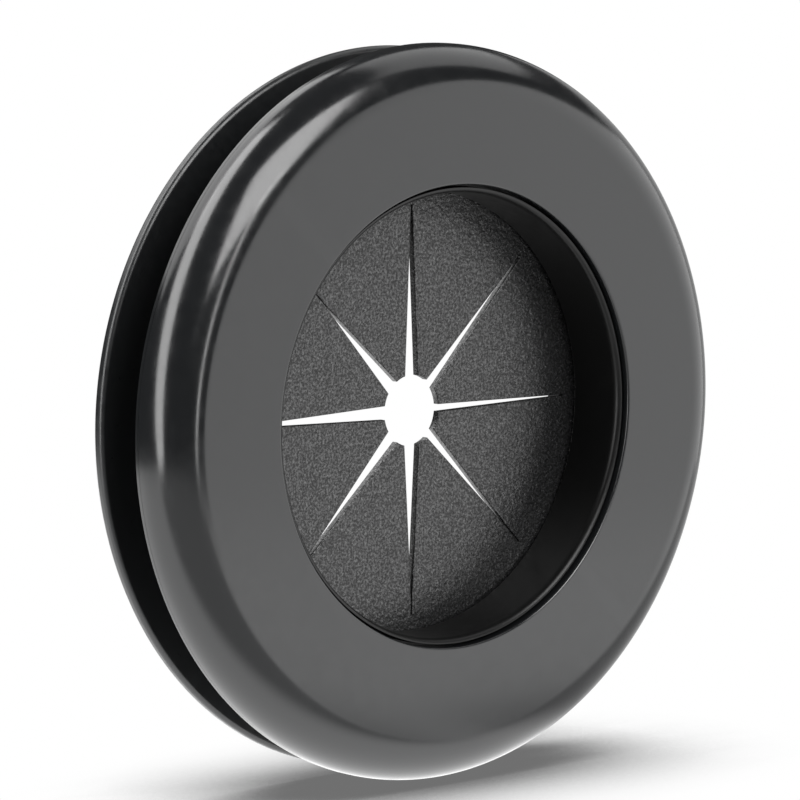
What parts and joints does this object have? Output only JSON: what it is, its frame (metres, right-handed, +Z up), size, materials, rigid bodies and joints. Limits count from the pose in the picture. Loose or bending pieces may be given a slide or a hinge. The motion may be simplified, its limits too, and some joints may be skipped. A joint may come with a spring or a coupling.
{
  "type": "desk grommet",
  "caption": "Round cable grommet for a furniture panel: trim ring, barrel, star-slit rubber membrane that cables push through, and a twist-on rear locking ring.",
  "frame": {"origin": "on the grommet's axis, in the plane where the front flange seats on the panel", "axes": "+Y along the axis, from the face to the rear; the face looks along -Y; +Z is up as pictured, with the grommet standing on its rim"},
  "size_m": [0.08, 0.0148, 0.08],
  "materials": {
    "bezel": "satin moulded",
    "barrel": "satin moulded",
    "membrane": "spark textured",
    "retainer": "matt moulded",
    "locking_ring": "satin moulded"
  },
  "bodies": {
    "housing": {"front_bezel": "bezel", "barrel": "barrel", "membrane_rim": "membrane", "membrane_retainer": "retainer"},
    "locking_ring": {"rear_locking_ring": "locking_ring"},
    "petal_1": {"petal_1": "membrane"},
    "petal_2": {"petal_2": "membrane"},
    "petal_3": {"petal_3": "membrane"},
    "petal_4": {"petal_4": "membrane"},
    "petal_5": {"petal_5": "membrane"},
    "petal_6": {"petal_6": "membrane"},
    "petal_7": {"petal_7": "membrane"},
    "petal_8": {"petal_8": "membrane"}
  },
  "joints": [
    {"name": "locking_ring_turn", "type": "hinge", "parent": "housing", "child": "locking_ring", "pos_m": [0, 0.007, 0], "axis": [0, -1, 0], "range_deg": [0, 40]},
    {"name": "petal_1_bend", "type": "hinge", "parent": "housing", "child": "petal_1", "pos_m": [0.0192, 0.0028, 0.00796], "axis": [0.3827, 0, -0.9239], "range_deg": [-70, 70], "stiffness_Nm_per_rad": 0.00035},
    {"name": "petal_2_bend", "type": "hinge", "parent": "housing", "child": "petal_2", "pos_m": [0.00796, 0.0028, 0.0192], "axis": [0.9239, 0, -0.3827], "range_deg": [-70, 70], "stiffness_Nm_per_rad": 0.00035},
    {"name": "petal_3_bend", "type": "hinge", "parent": "housing", "child": "petal_3", "pos_m": [-0.00796, 0.0028, 0.0192], "axis": [0.9239, 0, 0.3827], "range_deg": [-70, 70], "stiffness_Nm_per_rad": 0.00035},
    {"name": "petal_4_bend", "type": "hinge", "parent": "housing", "child": "petal_4", "pos_m": [-0.0192, 0.0028, 0.00796], "axis": [0.3827, 0, 0.9239], "range_deg": [-70, 70], "stiffness_Nm_per_rad": 0.00035},
    {"name": "petal_5_bend", "type": "hinge", "parent": "housing", "child": "petal_5", "pos_m": [-0.0192, 0.0028, -0.00796], "axis": [-0.3827, 0, 0.9239], "range_deg": [-70, 70], "stiffness_Nm_per_rad": 0.00035},
    {"name": "petal_6_bend", "type": "hinge", "parent": "housing", "child": "petal_6", "pos_m": [-0.00796, 0.0028, -0.0192], "axis": [-0.9239, 0, 0.3827], "range_deg": [-70, 70], "stiffness_Nm_per_rad": 0.00035},
    {"name": "petal_7_bend", "type": "hinge", "parent": "housing", "child": "petal_7", "pos_m": [0.00796, 0.0028, -0.0192], "axis": [-0.9239, 0, -0.3827], "range_deg": [-70, 70], "stiffness_Nm_per_rad": 0.00035},
    {"name": "petal_8_bend", "type": "hinge", "parent": "housing", "child": "petal_8", "pos_m": [0.0192, 0.0028, -0.00796], "axis": [-0.3827, 0, -0.9239], "range_deg": [-70, 70], "stiffness_Nm_per_rad": 0.00035}
  ]
}
